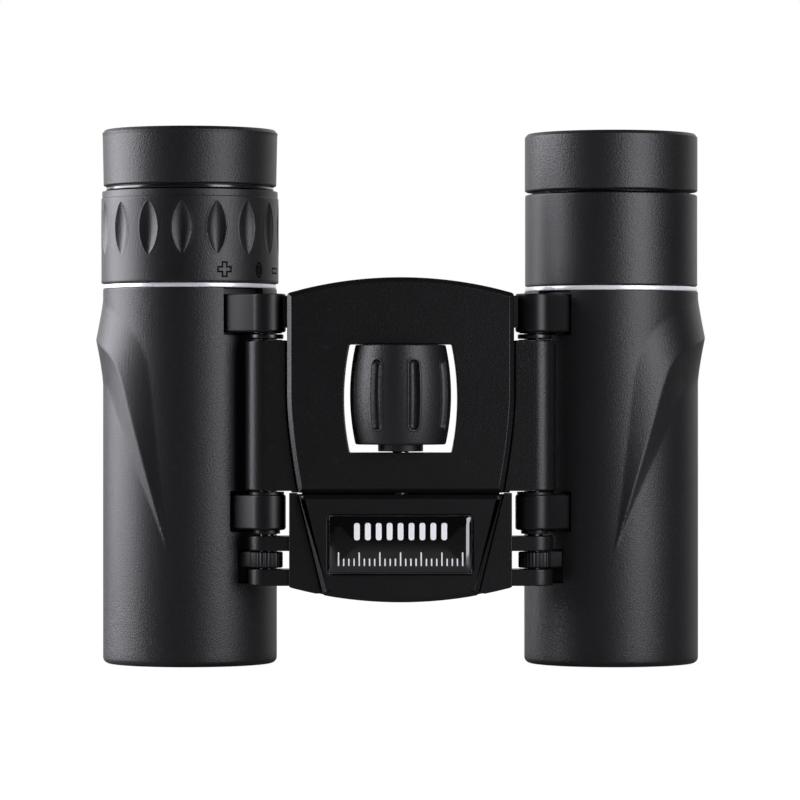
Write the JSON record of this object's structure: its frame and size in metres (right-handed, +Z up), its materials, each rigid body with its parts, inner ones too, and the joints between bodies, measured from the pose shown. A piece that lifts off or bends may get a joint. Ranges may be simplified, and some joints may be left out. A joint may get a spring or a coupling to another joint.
{
  "type": "binoculars",
  "caption": "Compact folding binoculars: two armoured roof prism barrels on a double-hinge bridge with a central focus wheel, rubber eyecups and a right-eye diopter ring.",
  "frame": {"origin": "middle of the bounding box, on the plane of the two objective rims", "axes": "+Z up along the optical axes towards the eyepieces, -Y towards the bridge and focus wheel, -X is the side of the user's right eye"},
  "size_m": [0.108, 0.0406, 0.095],
  "materials": {
    "soft_touch_armour": "satin soft-touch rubber coating, fine grain",
    "satin_plastic": "satin black moulded plastic, fine grain",
    "black_metal": "black anodised",
    "rubber": "matt rubber",
    "chrome_trim": "polished",
    "steel": "turned",
    "brass": "turned",
    "coated_glass": "anti-reflection coated",
    "gloss_badge": "clear domed resin over black"
  },
  "bodies": {
    "bridge": {"bridge_cover": "satin_plastic", "bridge_base": "satin_plastic", "upper_wheel_bush": "brass", "lower_wheel_bush": "brass", "bridge_screw_1": "steel", "bridge_screw_2": "steel", "bridge_screw_3": "steel", "bridge_screw_4": "steel", "right_eye_hinge_pin": "steel", "right_eye_hinge_washer": "steel", "left_eye_hinge_pin": "steel", "left_eye_hinge_washer": "steel"},
    "focus_wheel": {"focus_wheel": "rubber", "focus_screw": "steel"},
    "slider": {"slider_cover": "satin_plastic", "slider_base": "satin_plastic", "badge": "gloss_badge", "focus_nut": "brass", "slider_screw_1": "steel", "slider_screw_2": "steel"},
    "right_barrel": {"right_eye_armour": "soft_touch_armour", "right_eye_barrel_tube": "satin_plastic", "right_eye_trim_ring": "chrome_trim", "right_eye_prism_cage": "satin_plastic", "right_eye_lower_prism": "coated_glass", "right_eye_upper_prism": "coated_glass"},
    "left_barrel": {"left_eye_armour": "soft_touch_armour", "left_eye_barrel_tube": "satin_plastic", "left_eye_trim_ring": "chrome_trim", "left_eye_prism_cage": "satin_plastic", "left_eye_lower_prism": "coated_glass", "left_eye_upper_prism": "coated_glass", "left_eye_sleeve": "soft_touch_armour", "left_eye_eyepiece_tube": "satin_plastic", "left_eye_field_lens": "coated_glass", "left_eye_lens_spacer": "black_metal", "left_eye_eye_lens": "coated_glass", "left_eye_lens_retainer": "black_metal", "left_eye_eyecup": "rubber"},
    "right_objective": {"right_eye_objective_cell": "satin_plastic", "right_eye_objective_lens": "coated_glass", "right_eye_objective_retainer": "black_metal", "right_eye_focus_arm": "satin_plastic"},
    "left_objective": {"left_eye_objective_cell": "satin_plastic", "left_eye_objective_lens": "coated_glass", "left_eye_objective_retainer": "black_metal", "left_eye_focus_arm": "satin_plastic"},
    "right_eyepiece": {"right_eye_eyepiece_tube": "satin_plastic", "right_eye_field_lens": "coated_glass", "right_eye_lens_spacer": "black_metal", "right_eye_eye_lens": "coated_glass", "right_eye_lens_retainer": "black_metal", "right_eye_eyecup": "rubber"},
    "right_diopter_ring": {"right_eye_diopter_ring": "soft_touch_armour"}
  },
  "joints": [
    {"name": "right_eye_fold", "type": "hinge", "parent": "bridge", "child": "right_barrel", "pos_m": [-0.0235, -0.01002, 0.04], "axis": [0, 0, -1], "range_deg": [0, 66]},
    {"name": "left_eye_fold", "type": "hinge", "parent": "bridge", "child": "left_barrel", "pos_m": [0.0235, -0.01002, 0.04], "axis": [0, 0, 1], "range_deg": [0, 66]},
    {"name": "focus_wheel_spin", "type": "hinge", "parent": "bridge", "child": "focus_wheel", "pos_m": [0, -0.01142, 0.0477], "axis": [0, 0, 1], "range_deg": [0, 300]},
    {"name": "slider_slide", "type": "slide", "parent": "bridge", "child": "slider", "axis": [0, 0, -1], "range_m": [0, 0.0025]},
    {"name": "right_objective_slide", "type": "slide", "parent": "right_barrel", "child": "right_objective", "axis": [0, 0, -1], "range_m": [0, 0.0025]},
    {"name": "left_objective_slide", "type": "slide", "parent": "left_barrel", "child": "left_objective", "axis": [0, 0, -1], "range_m": [0, 0.0025]},
    {"name": "right_eyepiece_slide", "type": "slide", "parent": "right_barrel", "child": "right_eyepiece", "axis": [0, 0, 1], "range_m": [0, 0.00139]},
    {"name": "diopter_ring_spin", "type": "hinge", "parent": "right_eyepiece", "child": "right_diopter_ring", "pos_m": [-0.0376, 0.00447, 0.075], "axis": [0, 0, 1], "range_deg": [0, 49]}
  ],
  "couplings": [
    {"joint": "slider_slide", "follows": "focus_wheel_spin", "m_per_rad": 0.000477},
    {"joint": "right_objective_slide", "follows": "focus_wheel_spin", "m_per_rad": 0.000477},
    {"joint": "left_objective_slide", "follows": "focus_wheel_spin", "m_per_rad": 0.000477},
    {"joint": "diopter_ring_spin", "follows": "right_eyepiece_slide", "rad_per_m": 613.5}
  ]
}
